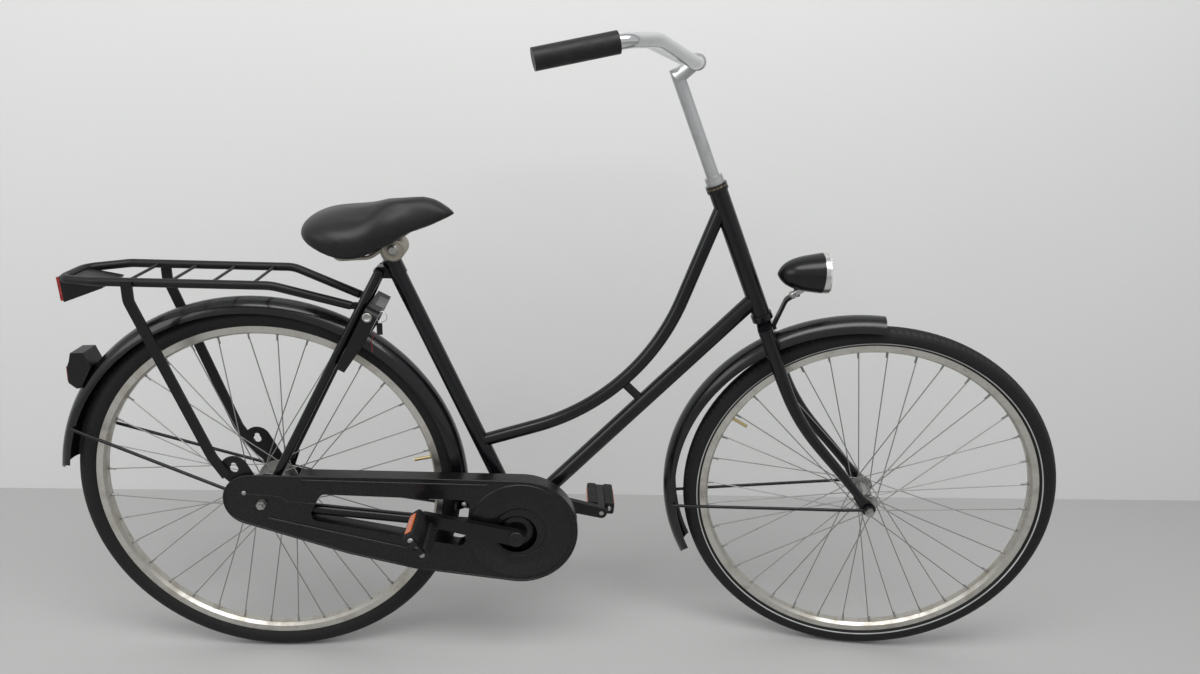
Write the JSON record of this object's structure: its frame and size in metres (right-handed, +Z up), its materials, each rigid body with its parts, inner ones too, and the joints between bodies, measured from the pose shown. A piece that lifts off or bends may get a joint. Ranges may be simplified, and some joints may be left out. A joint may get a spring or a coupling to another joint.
{
  "type": "city bicycle",
  "caption": "Step-through city bicycle with a looped frame, enclosed chain case, mudguards, rear carrier, swept-back handlebar, lamps and ring lock.",
  "frame": {"origin": "middle of the saddle's top, where the rider sits", "axes": "+X points forward along the level frame, +Y to the rider's left, +Z up; the ground under both wheels is 0.877 m below the origin"},
  "size_m": [1.8427, 0.5423, 1.1763],
  "materials": {
    "black_paint": "glossy, a little worn",
    "chrome": "polished, lightly pitted",
    "alloy": "satin",
    "rim_steel": "dulled plating",
    "zinc_steel": "dull",
    "brass": "satin",
    "tyre": "matt",
    "rubber": "matt",
    "black_plastic": "semi-gloss",
    "lamp_lens": "clear",
    "red_lens": "glossy",
    "saddle_cover": "satin vinyl"
  },
  "bodies": {
    "frame": {"seat_tube": "black_paint", "head_tube": "black_paint", "headset_cups": "black_paint", "down_tube": "black_paint", "loop_tube": "black_paint", "frame_strut": "black_paint", "bottom_bracket_shell": "black_paint", "chain_stays": "black_paint", "seat_stays": "black_paint", "rear_dropouts": "black_paint", "rear_axle": "zinc_steel", "seat_post": "zinc_steel", "saddle_clamp": "zinc_steel", "saddle_rails": "chrome", "saddle_pad": "saddle_cover", "chain_case": "black_paint", "rear_mudguard": "black_paint", "rear_mudguard_stays": "black_paint", "carrier_rack": "black_paint", "carrier_stays": "black_paint", "carrier_hook_plates": "black_paint", "carrier_reflector_housing": "black_plastic", "carrier_reflector_lens": "red_lens", "tail_lamp_housing": "black_plastic", "tail_lamp_lens": "red_lens", "ring_lock": "black_paint"},
    "steering": {"fork_crown": "black_paint", "fork_blades": "black_paint", "front_dropouts": "black_paint", "front_axle": "zinc_steel", "headset_nut": "alloy", "stem": "alloy", "handlebar": "chrome", "grip_left": "rubber", "grip_right": "rubber", "headlamp_shell": "black_plastic", "headlamp_lens": "lamp_lens", "lamp_bracket": "black_paint", "front_mudguard": "black_paint", "front_mudguard_stays": "black_paint"},
    "front_wheel": {"front_tyre": "tyre", "front_rim": "rim_steel", "front_hub": "zinc_steel", "front_spokes": "zinc_steel", "front_valve": "brass"},
    "rear_wheel": {"rear_tyre": "tyre", "rear_rim": "rim_steel", "rear_hub": "zinc_steel", "rear_spokes": "zinc_steel", "rear_valve": "brass"},
    "crankset": {"crank_spindle": "black_paint", "crank_arms": "black_paint", "pedal_axles": "zinc_steel", "chainwheel": "black_paint"},
    "pedal_left": {"pedal_core_left": "black_plastic", "pedal_treads_left": "rubber"},
    "pedal_right": {"pedal_core_right": "black_plastic", "pedal_treads_right": "rubber"}
  },
  "joints": [
    {"name": "steering", "type": "hinge", "parent": "frame", "child": "steering", "pos_m": [0.65062, 0, -0.06316], "axis": [-0.4003, 0, 0.9164], "range_deg": [-60.2, 79.8]},
    {"name": "front_wheel_spin", "type": "hinge", "parent": "steering", "child": "front_wheel", "pos_m": [0.93182, -0.01226, -0.52959], "axis": [0.156, 0.9854, 0.0681], "continuous": true},
    {"name": "rear_wheel_spin", "type": "hinge", "parent": "frame", "child": "rear_wheel", "pos_m": [-0.19022, 0, -0.52917], "axis": [0, 1, 0], "continuous": true},
    {"name": "crank_spin", "type": "hinge", "parent": "frame", "child": "crankset", "pos_m": [0.26578, 0, -0.58817], "axis": [0, 1, 0], "continuous": true},
    {"name": "pedal_right_spin", "type": "hinge", "parent": "crankset", "child": "pedal_right", "pos_m": [0.10014, -0.14, -0.54993], "axis": [0, 1, 0], "continuous": true},
    {"name": "pedal_left_spin", "type": "hinge", "parent": "crankset", "child": "pedal_left", "pos_m": [0.43143, 0.14, -0.62641], "axis": [0, 1, 0], "continuous": true}
  ]
}
